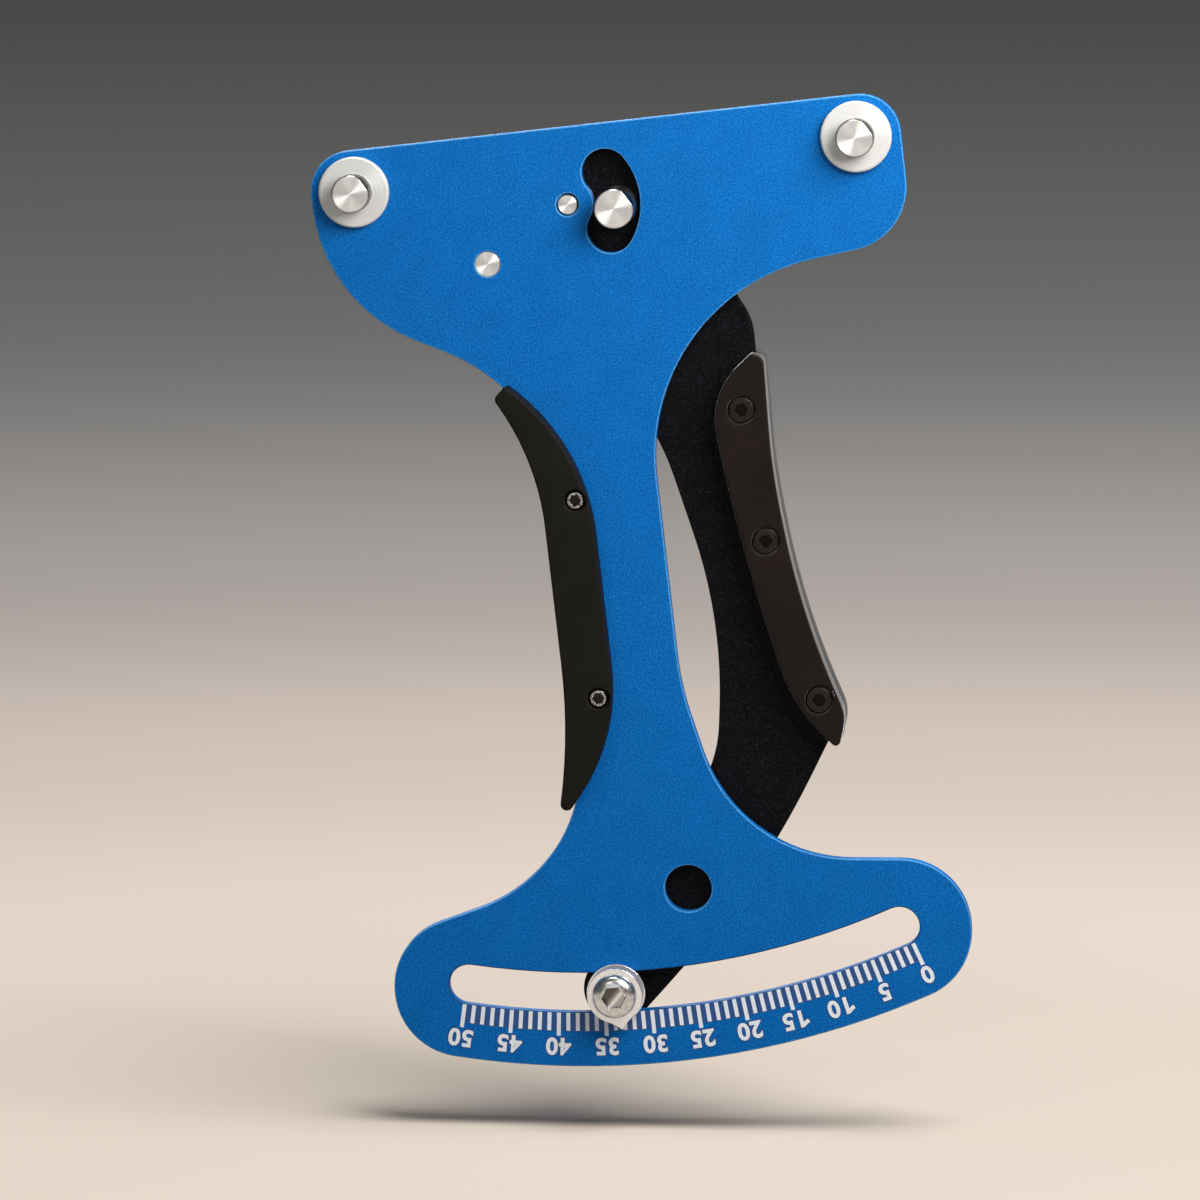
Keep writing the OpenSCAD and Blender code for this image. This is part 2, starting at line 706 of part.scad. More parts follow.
// A closed tube of the wire's diameter through a list of points
module tube(points, d, sides) {
  n = len(points);
  ways = [for (i = [0:n - 1]) unit(points[min(i + 1, n - 1)] - points[max(i - 1, 0)])];
  rings = [for (i = [0:n - 1])
    let (u = unit(cross(ways[i], abs(ways[i][1]) < 0.9 ? [0, 1, 0] : [1, 0, 0])), v = cross(ways[i], u))
    [for (k = [0:sides - 1]) points[i] + d / 2 * (cos(360 * k / sides) * u + sin(360 * k / sides) * v)]];
  walls = [for (i = [0:n - 2], k = [0:sides - 1])
    let (a = i * sides + k, b = i * sides + (k + 1) % sides)
    each [[a, b, b + sides], [a, b + sides, a + sides]]];
  caps = [for (k = [1:sides - 2])
    each [[0, k + 1, k], [(n - 1) * sides, (n - 1) * sides + k, (n - 1) * sides + k + 1]]];
  polyhedron([for (r = rings) each r], concat(walls, caps));
}

module gauge_spring() {
  color("gainsboro") tube(spring_points, wire_d, 6);
}

// Crowns of a domed and a flat screw head, as shares of the head's radius and height
dome_flat = 0.4;
dome_rise = 0.85;
dome = concat(
  [[0, 0]],
  [for (a = [0:15:90]) [dome_flat + (1 - dome_flat) * sin(a), dome_rise * (1 - cos(a))]]);
flat_head = [[0, 0], [0.92, 0], [1, 0.12]];
socket_share = 0.7;
// A screw with a hexagon socket, its head's face at depth y0
module socket_screw(p, y0, y1, d, head_d, head_h, hex, crown) {
  difference() {
    turned(p, concat(
      [for (c = crown) [c[0] * head_d / 2, y0 + c[1] * head_h]],
      [[head_d / 2, y0 + head_h], [d / 2, y0 + head_h], [d / 2, y1], [0, y1]]));
    hex_rod(p, y0 - eps, y0 + head_h * socket_share, hex);
  }
}

module hex_nut(p, y0, y1, w, d) {
  difference() {
    hex_rod(p, y0, y1, w);
    rod(p, y0 - eps, y1 + eps, d + 2 * press_gap);
  }
}

// Half of a grip: its cover over the plate and its share of the lip beyond the plate's edge
module grip_half(y0, y1, lip0, lip1) {
  slab(y0, y1) children(0);
  slab(lip0, lip1) difference() {
    children(0);
    children(1);
  }
}

body_nut_w = body_screw_d * 2;
body_front = -body_grip_front_t;
body_back = plate_t + body_grip_back_t;
body_parting = plate_t / 2;
module body_grip_front() {
  seat = body_front + head_sink + body_head_h;
  color([0.13, 0.12, 0.11]) difference() {
    grip_half(body_front, 0, -eps, body_parting) {
      body_grip_outline();
      plate_outline();
    }
    for (p = body_screws) {
      rod(p, body_front - eps, plate_t, body_screw_d + 2 * screw_gap);
      rod(p, body_front - eps, seat, body_head_d + 2 * body_head_gap);
    }
  }
}

module body_grip_back() {
  color([0.13, 0.12, 0.11]) difference() {
    grip_half(plate_t, body_back, body_parting, plate_t + eps) {
      body_grip_outline();
      plate_outline();
    }
    for (p = body_screws) {
      rod(p, 0, body_back + eps, body_screw_d + 2 * screw_gap);
      hex_rod(p, body_back - head_sink - nut_t, body_back + eps, body_nut_w + 2 * press_gap);
    }
  }
}

module body_grip_screws() {
  color("dimgray") for (p = body_screws) {
    socket_screw(p, body_front + head_sink, body_back - head_sink, body_screw_d, body_head_d, body_head_h,
      body_hex, flat_head);
  }
}

module body_grip_nuts() {
  color("silver") for (p = body_screws) {
    hex_nut(p, body_back - head_sink - nut_t, body_back - head_sink, body_nut_w, body_screw_d);
  }
}

bush_d = journal_d + 2 * run_gap + 2 * bush_wall;
module lever_plate() {
  color([0.06, 0.06, 0.07]) difference() {
    union() {
      slab(lever_front, lever_back) lever_outline();
      rod(pivot, lever_front, lever_back, 2 * head_r);
      rod(hub, lever_front, lever_back, 2 * lever_end_r);
    }
    rod(pivot, lever_front - eps, lever_back + eps, bush_d + 2 * press_gap);
    rod(moving, lever_front - eps, lever_back + eps, shank_d + 2 * press_gap);
    rod(spring_pin, lever_front - eps, lever_back + eps, lever_pin_d + 2 * press_gap);
    rod(hub, lever_front - eps, lever_back + eps, pointer_screw_d + 2 * screw_gap);
    for (p = lever_screws) {
      rod(p, lever_front - eps, lever_back + eps, lever_screw_d + 2 * screw_gap);
    }
  }
}

module lever_bush() {
  color("peru") ring(pivot, lever_front, lever_back, bush_d, journal_d + 2 * run_gap);
}

module moving_post() {
  r = moving_d / 2;
  color("silver") difference() {
    turned(moving, [
      [0, post_tip],
      [r - post_chamfer, post_tip],
      [r, post_tip + post_chamfer],
      [r, lever_front],
      [shank_d / 2, lever_front],
      [shank_d / 2, lever_back],
      [rivet_d / 2, lever_back],
      [rivet_d / 2, lever_back + rivet_h / 2],
      [rivet_d / 3, lever_back + rivet_h],
      [0, lever_back + rivet_h]
    ]);
    post_cut(moving, r);
  }
}

lever_nut_w = lever_screw_d * 2;
lever_grip_face = lever_front - lever_grip_front_t;
lever_grip_rear = lever_back + lever_grip_back_t;
lever_parting = (lever_front + lever_back) / 2;
module lever_grip_front() {
  seat = lever_grip_face + head_sink + lever_head_h;
  color([0.16, 0.13, 0.12]) difference() {
    grip_half(lever_grip_face, lever_front, lever_front - eps, lever_parting) {
      lever_grip_outline();
      lever_outline();
    }
    for (p = lever_screws) {
      rod(p, lever_grip_face - eps, lever_back, lever_screw_d + 2 * screw_gap);
      rod(p, lever_grip_face - eps, seat, lever_head_d + 2 * lever_head_gap);
    }
  }
}

module lever_grip_back() {
  color([0.16, 0.13, 0.12]) difference() {
    grip_half(lever_back, lever_grip_rear, lever_parting, lever_back + eps) {
      lever_grip_outline();
      lever_outline();
    }
    for (p = lever_screws) {
      rod(p, lever_front, lever_grip_rear + eps, lever_screw_d + 2 * screw_gap);
      hex_rod(p, lever_grip_rear - head_sink - nut_t, lever_grip_rear + eps, lever_nut_w + 2 * press_gap);
    }
  }
}

module lever_grip_screws() {
  color([0.09, 0.09, 0.1]) for (p = lever_screws) {
    socket_screw(p, lever_grip_face + head_sink, lever_grip_rear - head_sink, lever_screw_d, lever_head_d,
      lever_head_h, lever_hex, flat_head);
  }
}

module lever_grip_nuts() {
  color("silver") for (p = lever_screws) {
    hex_nut(p, lever_grip_rear - head_sink - nut_t, lever_grip_rear - head_sink, lever_nut_w, lever_screw_d);
  }
}

spacer_d = slot_w - 2 * spacer_gap;
// A disc with a tip, whose hollow flanks run out from the disc along arcs that touch it
module pointer() {
  r = pointer_d / 2;
  far = r + pointer_flank;
  touch = acos((far ^ 2 + pointer_tip ^ 2 - pointer_flank ^ 2) / (2 * far * pointer_tip));
  c = far * [cos(touch), sin(touch)];
  flank = arc(c, pointer_flank, touch + 270, atan2(-c[1], pointer_tip - c[0]) + 450);
  far_flank = [for (i = [len(flank) - 2:-1:0]) [flank[i][0], -flank[i][1]]];
  color("silver") difference() {
    union() {
      rod(hub, pointer_front, pointer_back, pointer_d);
      slab(pointer_front, pointer_back)
        translate(hub)
          rotate(-90 - pointer_swing + pointer_turn)
            polygon(concat([[0, 0]], flank, far_flank));
    }
    rod(hub, pointer_front - eps, pointer_back + eps, pointer_screw_d + 2 * screw_gap);
  }
}

// Length of the pointer's screw past its nut
screw_end = 0.6;
module pointer_screw() {
  tail = lever_back + pointer_nut_t + screw_end;
  color("silver") socket_screw(hub, pointer_front - pointer_head_h, tail, pointer_screw_d, pointer_head_d,
    pointer_head_h, pointer_hex, dome);
}

module pointer_washer() {
  color("lightgray") ring(hub, washer_front, -pointer_gap, pointer_washer_d, spacer_d + 2 * press_gap);
}

module pointer_spacer() {
  color("gray") ring(hub, pointer_back, lever_front, spacer_d, pointer_screw_d + 2 * screw_gap);
}

module pointer_nut() {
  color("silver") hex_nut(hub, lever_back, lever_back + pointer_nut_t, pointer_nut_w, pointer_screw_d);
}

body_plate();
left_post();
right_post();
pivot_pin();
pivot_spacer();
pivot_washer();
pivot_clip();
spring_anchor_pin();
body_grip_front();
body_grip_back();
body_grip_screws();
body_grip_nuts();
lever_plate();
lever_bush();
moving_post();
lever_spring_pin();
gauge_spring();
lever_grip_front();
lever_grip_back();
lever_grip_screws();
lever_grip_nuts();
pointer();
pointer_screw();
pointer_washer();
pointer_spacer();
pointer_nut();
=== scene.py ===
"""Looks of a spoke comparison gauge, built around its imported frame. Lengths are in metres."""

import math

import bmesh
import bpy
from mathutils import Matrix, Vector


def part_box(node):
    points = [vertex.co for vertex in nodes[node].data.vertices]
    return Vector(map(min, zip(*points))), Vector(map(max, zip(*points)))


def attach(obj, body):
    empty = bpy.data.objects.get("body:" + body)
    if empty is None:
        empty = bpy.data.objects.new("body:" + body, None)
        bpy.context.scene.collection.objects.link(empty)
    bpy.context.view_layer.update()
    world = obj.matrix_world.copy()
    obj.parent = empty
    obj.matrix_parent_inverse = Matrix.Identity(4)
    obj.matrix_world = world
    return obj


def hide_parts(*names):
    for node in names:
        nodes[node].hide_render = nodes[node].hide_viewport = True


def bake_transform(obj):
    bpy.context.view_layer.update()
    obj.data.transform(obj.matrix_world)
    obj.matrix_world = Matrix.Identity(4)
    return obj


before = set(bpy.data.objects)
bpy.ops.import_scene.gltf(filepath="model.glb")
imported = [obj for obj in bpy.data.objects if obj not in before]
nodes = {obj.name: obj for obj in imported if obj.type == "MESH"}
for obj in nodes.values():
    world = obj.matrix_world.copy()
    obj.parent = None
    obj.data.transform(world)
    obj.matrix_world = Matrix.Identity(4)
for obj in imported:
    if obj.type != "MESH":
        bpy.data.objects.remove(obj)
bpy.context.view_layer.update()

MM = 0.001

# Camera, set to the photograph's viewing angle
IMAGE_PIXELS = 1200
FOCAL_PIXELS = 6264
SENSOR_WIDTH = 36
CAMERA_TURN = math.radians(6.5)
CAMERA_RISE = math.radians(7.0)
CAMERA_ROLL = math.radians(6.66)
CAMERA_DISTANCE = 1.4
CAMERA_TARGET = Vector((-0.0122, 0, -0.0966))

# Floor, which is level in the picture, where the gauge hangs askew
FLOOR_DROP = 0.1206
FLOOR_HALF = 40
# Distances from the object over which the floor's painted light and shade change
FLOOR_FADE_NEAR = 0.1
FLOOR_FADE_FAR = 10

# Ambient light: strength from behind and from in front, half width of the change, and colour
WORLD_BACK = 0.07
WORLD_FRONT = 0.1
WORLD_FADE = 0.6
WORLD_COLOUR = (0.96, 0.98, 1.0, 1)

# Lamps that light the object alone: name, place, size, power in watts and colour
WHITE_LIGHT = (1, 1, 1)
LAMPS = (
    ("key", (0.27, -0.27, 0.15), 0.28, 2.55, (1.0, 0.99, 0.97)),
    ("second", (-0.255, -0.8, 0.45), 0.25, 0.6, WHITE_LIGHT),
    ("card", (-0.15, -1.5, 0.1), 0.9, 2.4, WHITE_LIGHT),
    ("overhead", (0.0, 0.1, 1.2), 0.5, 10, (1.0, 0.98, 0.95)),
    ("back", (-0.4, 1.5, 0.7), 0.8, 14, WHITE_LIGHT),
)

# Lamp that lights the floor alone
FLOOR_LAMP = ("ground", (1.2, -0.65, 2.4), 1.6, 103, (1.0, 0.97, 0.93))

# Edges that catch the light: widths, steps of the rounding, and the angle from which one is rounded
PLATE_EDGE = 0.28 * MM
GRIP_EDGE = 0.55 * MM
METAL_EDGE = 0.12 * MM
FINE_EDGE = 0.06 * MM
EDGE_SEGMENTS = 3
EDGE_ANGLE = math.radians(35)
WELD_GAP = 1e-6

# Usual range of a noise
NOISE_LOW = 0.3
NOISE_HIGH = 0.7

# Turned posts and pins: pitch of the turning marks, and length before a flange or of a whole pin
RING_PITCH = 0.22 * MM
FLANGED_SIDE = 5.5 * MM
PLAIN_SIDE = 11.4 * MM

# Shares of that length between which the stem gives way to the flange, and the flange's look
STEM_UPTO = 0.97
FLANGE_FROM = 0.99
FLANGE_ROUGH = 0.5
FLANGE_SHINE = 0.15

# How squarely the sides, slanted cuts and end faces of a turned piece face along its axis
SIDE_UPTO = 0.1
CUT_FROM = 0.18
CUT_UPTO = 0.6
END_FROM = 0.75

# Depths below a screw's face between which its worn and glinting face gives way to painted shade
FACE_TO_SHADE_START = 0.08 * MM
FACE_TO_SHADE_END = 0.3 * MM

# Rim of the arc slot, where the plate's edges are painted darker as shade: radius about the pivot,
# half width with the rim, and middle and reach along X
SLOT_R = 177.8 * MM
SLOT_RIM = 5.2 * MM
SLOT_MIDDLE = -2.75 * MM
SLOT_REACH = 54.75 * MM

# Socket of the pointer's screw: the circle round it, and how far it starts below the screw's face
SOCKET_R = 2.75 * MM
SOCKET_START = 0.45 * MM

# Scale print on the body plate
SCALE_STEPS = 50
SCALE_LABEL_EVERY = 5
SCALE_FIRST = math.radians(-14.0226)
SCALE_STEP = math.radians(0.679625)
SCALE_SQUEEZE = math.radians(-0.00055005)
TICK_R = 182.45 * MM
TICK_SHORT = 4.1 * MM
TICK_LONG = 5.3 * MM
TICK_W = 0.9 * MM
LABEL_R = 190.2 * MM
LABEL_H = 4.1 * MM
LABEL_BOLD = 0.036
HALO_BOLD = 0.08
LABEL_SPACING = 1.1
LABEL_SMOOTH = 6
LABEL_JOIN = 1e-5
BAND_R = 186.7 * MM
INK_T = 0.03 * MM
HALO_T = 0.015 * MM
INK_SINK = 0.02 * MM

# The font's figure one is a bare bar that ends before ONE_END; this one has a flag, in font units
ONE_END = 0.45
ONE_OUTLINE = (
    (0.202, 0), (0.3, 0), (0.3, 0.682), (0.215, 0.682),
    (-0.045, 0.535), (-0.015, 0.44), (0.202, 0.555),
)

# Spring between its two pins
WIRE_D = 1.3 * MM
COIL_D = 8.0 * MM
COILS = 9
COIL_STEPS = 20
HOOK_R = 2.5 * MM
HOOK_RUN = 5.1 * MM
HOOK_WRAP = math.radians(235)
HOOK_STEPS = 12
WIRE_SIDES = 5
WIRE_SMOOTH = 3


def srgb(red, green, blue):
    """A display colour of 0 to 255 as the linear colour that a shader takes."""

    def linear(value):
        share = value / 255
        return share / 12.92 if share <= 0.04045 else ((share + 0.055) / 1.055) ** 2.4

    return (linear(red), linear(green), linear(blue), 1.0)


def grey(value):
    """A value as a colour."""
    return (value, value, value, 1)


class Finish:
    """A Principled material, with short ways to add what varies over the surface."""

    # Sockets of a Mix node that mixes colours: share, first colour, second colour, and result
    MIX_INPUTS = (0, 6, 7)
    MIX_RESULT = 2

    def __init__(self, name, colour, roughness, **sockets):
        self.material = bpy.data.materials.new(name)
        self.material.use_nodes = True
        self.tree = self.material.node_tree
        self.bsdf = self.tree.nodes["Principled BSDF"]
        self.bsdf.inputs["Base Color"].default_value = colour
        self.bsdf.inputs["Roughness"].default_value = roughness
        for socket, value in sockets.items():
            self.bsdf.inputs[socket.replace("_", " ")].default_value = value
        self.place = self.tree.nodes.new("ShaderNodeTexCoord").outputs["Object"]

    def link(self, source, target):
        self.tree.links.new(source, target)

    def node(self, kind, **values):
        made = self.tree.nodes.new(kind)
        for key, value in values.items():
            made.inputs[key.replace("_", " ")].default_value = value
        return made

    def feed(self, value, target):
        """Gives a socket a number or a colour, or links another socket to it."""
        if isinstance(value, (int, float, tuple)):
            target.default_value = value
        else:
            self.link(value, target)

    def math(self, operation, first, second):
        """A Math node on two sockets or numbers."""
        made = self.tree.nodes.new("ShaderNodeMath")
        made.operation = operation
        for value, target in zip((first, second), made.inputs):
            self.feed(value, target)
        return made.outputs[0]

    def parts(self):
        """X, Y and Z of the place on the object."""
        made = self.node("ShaderNodeSeparateXYZ")
        self.link(self.place, made.inputs[0])
        return made.outputs

    def around(self, axis):
        """Offsets in X and Z from an axis along Y, the distance from it, and the depth along it."""
        place = self.parts()
        across = self.math("SUBTRACT", place["X"], axis.x)
        up = self.math("SUBTRACT", place["Z"], axis.z)
        squares = self.math("MULTIPLY", across, across), self.math("MULTIPLY", up, up)
        return across, up, self.math("POWER", self.math("ADD", *squares), 0.5), place["Y"]

    def unsigned(self, source):
        """A value without its sign."""
        return self.math("ABSOLUTE", source, 0.0)

    def span(self, source, low, high, first=0.0, last=1.0):
        """A value that runs from first to last as the source runs from low to high."""
        made = self.node(
            "ShaderNodeMapRange", From_Min=low, From_Max=high, To_Min=first, To_Max=last
        )
        self.link(source, made.inputs["Value"])
        return made.outputs["Result"]

    def between(self, source, first, last):
        """A value that runs from first to last over the range of a noise."""
        return self.span(source, NOISE_LOW, NOISE_HIGH, first, last)

    def noise(self, size, detail=2.0, rough=0.5):
        """Noise whose features are about this long."""
        made = self.node("ShaderNodeTexNoise", Scale=1 / size, Detail=detail, Roughness=rough)
        self.link(self.place, made.inputs["Vector"])
        return made.outputs["Fac"]

    def ramp(self, source, *stops, ease="LINEAR"):
        """A colour ramp of (position, colour) stops."""
        made = self.tree.nodes.new("ShaderNodeValToRGB")
        made.color_ramp.interpolation = ease
        elements = made.color_ramp.elements
        while len(elements) < len(stops):
            elements.new(0.5)
        for element, (position, colour) in zip(elements, stops):
            element.position = position
            element.color = colour
        self.link(source, made.inputs["Fac"])
        return made.outputs["Color"]

    def mottle(self, source, dark, light):
        """A colour that runs from dark to light over the range of a noise."""
        return self.ramp(source, (NOISE_LOW, dark), (NOISE_HIGH, light))

    def steps(self, source, *stops):
        """A value that runs through (position, value) stops."""
        return self.ramp(source, *((position, grey(value)) for position, value in stops))

    def mix(self, share, first, second, blend="MIX"):
        """The first colour with this share of the second."""
        made = self.tree.nodes.new("ShaderNodeMix")
        made.data_type = "RGBA"
        made.blend_type = blend
        for value, index in zip((share, first, second), self.MIX_INPUTS):
            self.feed(value, made.inputs[index])
        return made.outputs[self.MIX_RESULT]

    def colour(self, source):
        self.link(source, self.bsdf.inputs["Base Color"])

    def rough(self, source):
        self.link(source, self.bsdf.inputs["Roughness"])

    def bump(self, source, height, strength=1.0):
        made = self.node("ShaderNodeBump", Strength=strength, Distance=height)
        self.link(source, made.inputs["Height"])
        self.link(made.outputs["Normal"], self.bsdf.inputs["Normal"])


def beside_slot(finish):
    """1 at the rim of the arc slot, where the edges take painted shade, and 0 elsewhere on the
    plate's edges.
    """
    across, _, radius, _ = finish.around(pivot)
    off = finish.unsigned(finish.math("SUBTRACT", radius, SLOT_R))
    aside = finish.unsigned(finish.math("SUBTRACT", across, SLOT_MIDDLE - pivot.x))
    near = finish.math("LESS_THAN", off, SLOT_RIM)
    return finish.math("MULTIPLY", near, finish.math("LESS_THAN", aside, SLOT_REACH))


def blue_coat(name, base, dark, light, slot_rim_shade=None):
    """Powder coat: orange peel with small flecks; the arc slot's rim may take a colour of its own
    as painted shade.
    """
    finish = Finish(name, base, 0.5, Specular_IOR_Level=0.07)
    fleck = finish.noise(0.42 * MM, detail=3, rough=0.6)
    cloud = finish.noise(7 * MM, detail=2)
    speckle = finish.ramp(fleck, (0.32, dark), (0.5, base), (0.68, light))
    shade = finish.mottle(cloud, (0.88, 0.9, 0.92, 1), grey(1.0))
    coat = finish.mix(1.0, speckle, shade, "MULTIPLY")
    finish.colour(finish.mix(beside_slot(finish), coat, slot_rim_shade) if slot_rim_shade else coat)
    finish.rough(finish.between(fleck, 0.42, 0.58))
    finish.bump(finish.noise(0.4 * MM, detail=3), 0.03 * MM, 0.35)
    return finish.material


def black_coat():
    """Black coat with sparse metallic flecks."""
    finish = Finish("black_coat", srgb(10, 10, 11), 0.5, Specular_IOR_Level=0.05)
    fleck = finish.noise(0.32 * MM, detail=2)
    cloud = finish.noise(5 * MM)
    ground = finish.mottle(cloud, srgb(8, 8, 9), srgb(13, 13, 15))
    sparkle = finish.steps(fleck, (0.56, 0.0), (0.72, 1.0))
    finish.colour(finish.mix(sparkle, ground, srgb(38, 40, 50)))
    finish.rough(finish.between(fleck, 0.55, 0.4))
    finish.bump(finish.noise(0.4 * MM, detail=3), 0.03 * MM, 0.4)
    return finish.material


def grip_plastic(name, dark, light, sheen):
    """Moulded grip: warm black with a fine matte grain, and a dusty sheen along its sides."""
    finish = Finish(
        name, light, 0.5, Specular_IOR_Level=0.06, Sheen_Weight=sheen, Sheen_Roughness=0.3
    )
    grain = finish.noise(0.25 * MM, detail=3)
    cloud = finish.noise(12 * MM, detail=3)
    finish.colour(finish.mottle(cloud, dark, light))
    finish.rough(finish.between(grain, 0.42, 0.6))
    finish.bump(grain, 0.03 * MM, 0.4)
    return finish.material


def metal(name, colour, roughness, grain, spread=0.05, shine=1.0):
    """Plain metal with a fine mottled polish."""
    finish = Finish(name, colour, roughness, Metallic=shine)
    fine = finish.noise(grain, detail=4, rough=0.6)
    cloud = finish.noise(2.5 * MM, detail=2)
    dim = tuple(0.9 * part for part in colour[:3]) + (1.0,)
    finish.colour(finish.mottle(cloud, dim, colour))
    finish.rough(finish.between(fine, roughness - spread, roughness + spread))
    finish.bump(fine, 0.004 * MM, 0.3)
    return finish.material


def shade_and_glint_screw(name, face, dull, bright, deep):
    """Screw whose face, at this depth, has patches that are partly wear and partly painted glints,
    while its socket and sides are painted dark as shade.
    """
    finish = Finish(name, bright, 0.28, Metallic=1.0)
    depth = finish.span(finish.parts()["Y"], face + FACE_TO_SHADE_START, face + FACE_TO_SHADE_END)
    worn = finish.ramp(finish.noise(0.3 * MM, detail=3), (0.4, dull), (0.64, bright))
    # Deeper than the face, the socket and the head's sides take the deep colour as painted shade
    finish.colour(finish.mix(depth, worn, deep))
    finish.rough(finish.between(finish.noise(0.2 * MM, detail=3), 0.24, 0.4))
    return finish.material


def socket_screw(axis, face):
    """Bright screw round an axis along Y, its face at this depth, with a painted glint and painted
    shade slanting across its socket.
    """
    finish = Finish("pointer_screw", srgb(190, 188, 184), 0.26, Metallic=1.0)
    across, up, radius, depth = finish.around(axis)
    near = finish.math("LESS_THAN", radius, SOCKET_R)
    deep = finish.math("GREATER_THAN", depth, face + SOCKET_START)
    cloud = finish.noise(1.2 * MM, detail=3)
    bright = finish.mottle(cloud, srgb(186, 186, 184), srgb(220, 220, 218))
    # Painted glint and painted shade in the socket: dark towards its upper left, brightest towards
    # its lower right
    slant = finish.span(finish.math("SUBTRACT", across, up), -SOCKET_R, SOCKET_R)
    glint = finish.ramp(
        slant,
        (0.3, srgb(92, 90, 87)),
        (0.52, srgb(150, 148, 144)),
        (0.66, srgb(240, 239, 236)),
        (0.86, srgb(176, 174, 170)),
    )
    finish.colour(finish.mix(finish.math("MULTIPLY", near, deep), bright, glint))
    finish.rough(finish.between(finish.noise(0.3 * MM, detail=4), 0.2, 0.32))
    return finish.material


def turned_metal(name, axis, tip, length):
    """Metal turned round an axis along Y: ringed ends, sides darkened and slanted cuts made near
    black as painted shade, a satin flange.
    """
    bright = srgb(236, 235, 232)
    finish = Finish(name, bright, 0.42, Metallic=1.0, Anisotropic=0.9, Anisotropic_Rotation=0.25)
    _, _, radius, depth = finish.around(axis)
    noise = finish.node("ShaderNodeTexNoise", Scale=1.0, Detail=3.0)
    noise.noise_dimensions = "1D"
    finish.link(finish.math("MULTIPLY", radius, 1 / RING_PITCH), noise.inputs["W"])
    rings = noise.outputs["Fac"]
    turn = finish.node("ShaderNodeSeparateXYZ")
    finish.link(finish.node("ShaderNodeNewGeometry").outputs["True Normal"], turn.inputs[0])
    facing = finish.unsigned(turn.outputs["Y"])
    along = finish.span(depth, tip, tip + length)
    stem = finish.steps(along, (STEM_UPTO, 1.0), (FLANGE_FROM, 0.0))

    def side_or_end(side, end):
        """One value on sides and cuts, and another on end faces."""
        return finish.steps(facing, (CUT_UPTO, side), (END_FROM, end))

    side = finish.math("MULTIPLY", stem, side_or_end(1.0, 0.0))
    cut = finish.steps(facing, (SIDE_UPTO, 0.0), (CUT_FROM, 1.0))
    # Painted shade: the sides are darkened to a mid grey, and the slanted cuts to near black
    dark = finish.mix(cut, srgb(116, 115, 112), srgb(40, 39, 38))
    finish.colour(finish.mix(side, finish.mottle(rings, srgb(214, 212, 208), bright), dark))
    rough = finish.mix(stem, grey(FLANGE_ROUGH), side_or_end(0.22, 0.42))
    finish.rough(finish.math("MULTIPLY", rough, finish.between(rings, 0.85, 1.15)))
    shine = finish.mix(stem, grey(FLANGE_SHINE), side_or_end(1.0, 0.85))
    finish.link(shine, finish.bsdf.inputs["Metallic"])
    finish.bump(rings, 0.006 * MM, 0.5)
    tangent = finish.node("ShaderNodeTangent")
    tangent.direction_type = "RADIAL"
    tangent.axis = "Y"
    finish.link(tangent.outputs[0], finish.bsdf.inputs["Tangent"])
    return finish.material


def ink(name, colour, worn):
    """Screen print, a little uneven."""
    finish = Finish(name, colour, 0.5)
    patch = finish.noise(0.6 * MM, detail=4)
    finish.colour(finish.ramp(patch, (0.3, worn), (0.6, colour)))
    finish.rough(finish.between(patch, 0.42, 0.6))
    return finish.material


def plain_plastic():
    """Natural nylon of the pivot's spacer."""
    finish = Finish("slip_plastic", srgb(226, 222, 210), 0.45)
    cloud = finish.noise(1.5 * MM, detail=3)
    finish.colour(finish.mottle(cloud, srgb(214, 209, 196), srgb(231, 228, 217)))
    finish.rough(finish.between(cloud, 0.4, 0.52))
    return finish.material


def centre(name):
    """Middle of a node's box."""
    low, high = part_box(name)
    return (low + high) / 2


def front(name):
    """Depth of a node's front."""
    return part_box(name)[0].y


def dress(name, material, edge, edge_material=None):
    """Gives a node its finish and rounds its edges, which may have a finish of their own."""
    piece = nodes[name]
    piece.data.materials.clear()
    piece.data.materials.append(material)
    weld = piece.modifiers.new("weld", "WELD")
    weld.merge_threshold = WELD_GAP
    bevel = piece.modifiers.new("edge", "BEVEL")
    bevel.width = edge
    bevel.segments = EDGE_SEGMENTS
    bevel.limit_method = "ANGLE"
    bevel.angle_limit = EDGE_ANGLE
    bevel.use_clamp_overlap = False
    bevel.loop_slide = False
    if edge_material:
        piece.data.materials.append(edge_material)
        bevel.material = 1
    piece.modifiers.new("shade", "WEIGHTED_NORMAL")


def new_piece(name, vertices, faces, material, body):
    """A mesh piece that rides on a body."""
    mesh = bpy.data.meshes.new(name)
    mesh.from_pydata(vertices, [], faces)
    mesh.validate()
    mesh.update()
    mesh.materials.append(material)
    piece = bpy.data.objects.new(name, mesh)
    bpy.context.scene.collection.objects.link(piece)
    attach(piece, body)


def view_axes():
    """The camera's right, up and back directions."""
    level = Vector((math.cos(CAMERA_TURN), math.sin(CAMERA_TURN), 0))
    ahead = Vector((math.sin(CAMERA_TURN), -math.cos(CAMERA_TURN), 0))
    back = ahead * math.cos(CAMERA_RISE) + Vector((0, 0, math.sin(CAMERA_RISE)))
    above = back.cross(level)
    right = level * math.cos(CAMERA_ROLL) - above * math.sin(CAMERA_ROLL)
    up = level * math.sin(CAMERA_ROLL) + above * math.cos(CAMERA_ROLL)
    return right, up, back


def make_camera():
    """The camera, at the photograph's distance and angle."""
    camera = bpy.data.cameras.new("camera")
    camera.sensor_width = SENSOR_WIDTH
    camera.lens = SENSOR_WIDTH * FOCAL_PIXELS / IMAGE_PIXELS
    view = bpy.data.objects.new("camera", camera)
    bpy.context.scene.collection.objects.link(view)
    right, up, back = view_axes()
    pose = Matrix((right, up, back)).transposed().to_4x4()
    pose.translation = CAMERA_TARGET + back * CAMERA_DISTANCE
    view.matrix_world = pose
    bpy.context.scene.camera = view


